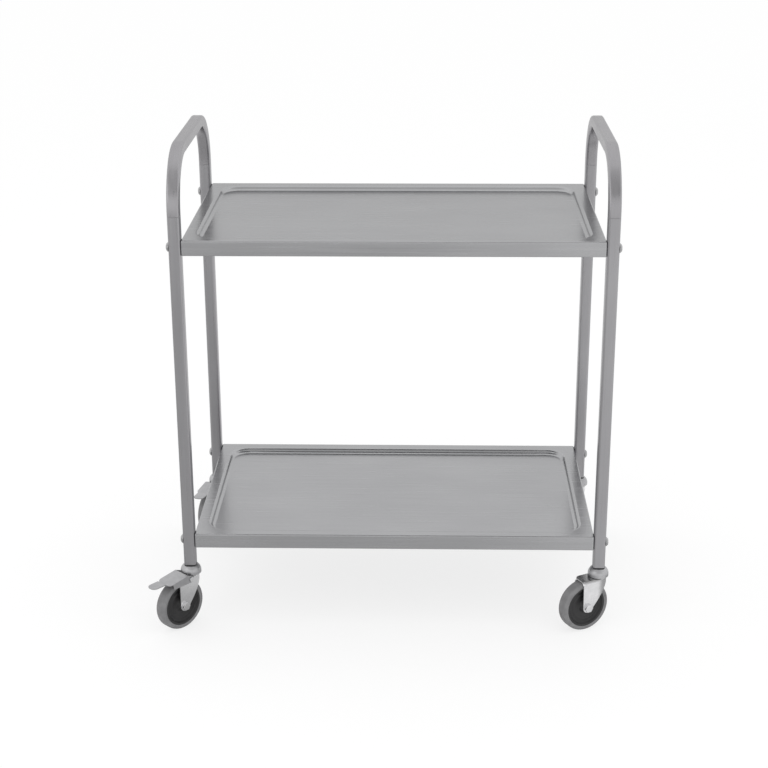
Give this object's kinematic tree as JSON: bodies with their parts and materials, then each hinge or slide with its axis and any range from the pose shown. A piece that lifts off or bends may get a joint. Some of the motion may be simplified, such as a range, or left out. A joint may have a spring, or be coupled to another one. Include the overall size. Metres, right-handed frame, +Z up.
{
  "type": "service trolley",
  "caption": "Two-tier stainless steel dining cart: pressed tray shelves between square-tube legs, bent push handles and swivel casters with foot brakes.",
  "frame": {"origin": "on the floor, under the middle of the whole trolley with its casters as they stand", "axes": "+X along the trolley to its right end, +Y from its front to its back, +Z up"},
  "size_m": [0.7712, 0.4714, 0.815],
  "materials": {
    "shelf_steel": "satin",
    "tube_steel": "satin",
    "caster_steel": "bright plated",
    "fasteners": "plain",
    "tyre_rubber": "matt grey",
    "black_plastic": "moulded",
    "brake_pad": "matt"
  },
  "bodies": {
    "frame": {"upper_shelf": "shelf_steel", "lower_shelf": "shelf_steel", "left_handle": "tube_steel", "right_handle": "tube_steel", "shelf_bolts": "fasteners", "shelf_nuts": "fasteners", "leg_sockets": "black_plastic", "caster_stems": "caster_steel", "swivel_heads": "caster_steel", "swivel_bearings": "caster_steel", "front_left_leg": "tube_steel", "front_right_leg": "tube_steel", "rear_left_leg": "tube_steel", "rear_right_leg": "tube_steel"},
    "front_left_caster": {"front_left_fork": "caster_steel", "front_left_axle_bolt": "fasteners", "front_left_axle_nut": "fasteners", "front_left_pedal_rivets": "fasteners"},
    "front_left_wheel": {"front_left_wheel_core": "black_plastic", "front_left_tyre": "tyre_rubber"},
    "front_left_brake": {"front_left_brake_pedal": "caster_steel", "front_left_brake_shoe": "brake_pad"},
    "front_right_caster": {"front_right_fork": "caster_steel", "front_right_axle_bolt": "fasteners", "front_right_axle_nut": "fasteners"},
    "front_right_wheel": {"front_right_wheel_core": "black_plastic", "front_right_tyre": "tyre_rubber"},
    "rear_left_caster": {"rear_left_fork": "caster_steel", "rear_left_axle_bolt": "fasteners", "rear_left_axle_nut": "fasteners", "rear_left_pedal_rivets": "fasteners"},
    "rear_left_wheel": {"rear_left_wheel_core": "black_plastic", "rear_left_tyre": "tyre_rubber"},
    "rear_left_brake": {"rear_left_brake_pedal": "caster_steel", "rear_left_brake_shoe": "brake_pad"},
    "rear_right_caster": {"rear_right_fork": "caster_steel", "rear_right_axle_bolt": "fasteners", "rear_right_axle_nut": "fasteners"},
    "rear_right_wheel": {"rear_right_wheel_core": "black_plastic", "rear_right_tyre": "tyre_rubber"}
  },
  "joints": [
    {"name": "front_left_swivel", "type": "hinge", "parent": "frame", "child": "front_left_caster", "pos_m": [-0.32205, -0.16691, 0.093], "axis": [0, 0, 1], "continuous": true},
    {"name": "front_left_roll", "type": "hinge", "parent": "front_left_caster", "child": "front_left_wheel", "pos_m": [-0.3409, -0.18762, 0.044], "axis": [0.7396, -0.673, 0], "continuous": true},
    {"name": "front_left_brake_press", "type": "hinge", "parent": "front_left_caster", "child": "front_left_brake", "pos_m": [-0.3308, -0.17653, 0.089], "axis": [0.7396, -0.673, 0], "range_deg": [0, 9]},
    {"name": "front_right_swivel", "type": "hinge", "parent": "frame", "child": "front_right_caster", "pos_m": [0.36795, -0.16691, 0.093], "axis": [0, 0, 1], "continuous": true},
    {"name": "front_right_roll", "type": "hinge", "parent": "front_right_caster", "child": "front_right_wheel", "pos_m": [0.34332, -0.18023, 0.044], "axis": [0.4756, -0.8796, 0], "continuous": true},
    {"name": "rear_left_swivel", "type": "hinge", "parent": "frame", "child": "rear_left_caster", "pos_m": [-0.32205, 0.21809, 0.093], "axis": [0, 0, 1], "continuous": true},
    {"name": "rear_left_roll", "type": "hinge", "parent": "rear_left_caster", "child": "rear_left_wheel", "pos_m": [-0.33163, 0.19178, 0.044], "axis": [0.9397, -0.342, 0], "continuous": true},
    {"name": "rear_left_brake_press", "type": "hinge", "parent": "rear_left_caster", "child": "rear_left_brake", "pos_m": [-0.3265, 0.20587, 0.089], "axis": [0.9397, -0.342, 0], "range_deg": [0, 9]},
    {"name": "rear_right_swivel", "type": "hinge", "parent": "frame", "child": "rear_right_caster", "pos_m": [0.36795, 0.21809, 0.093], "axis": [0, 0, 1], "continuous": true},
    {"name": "rear_right_roll", "type": "hinge", "parent": "rear_right_caster", "child": "rear_right_wheel", "pos_m": [0.3437, 0.20409, 0.044], "axis": [0.5, -0.866, 0], "continuous": true}
  ]
}
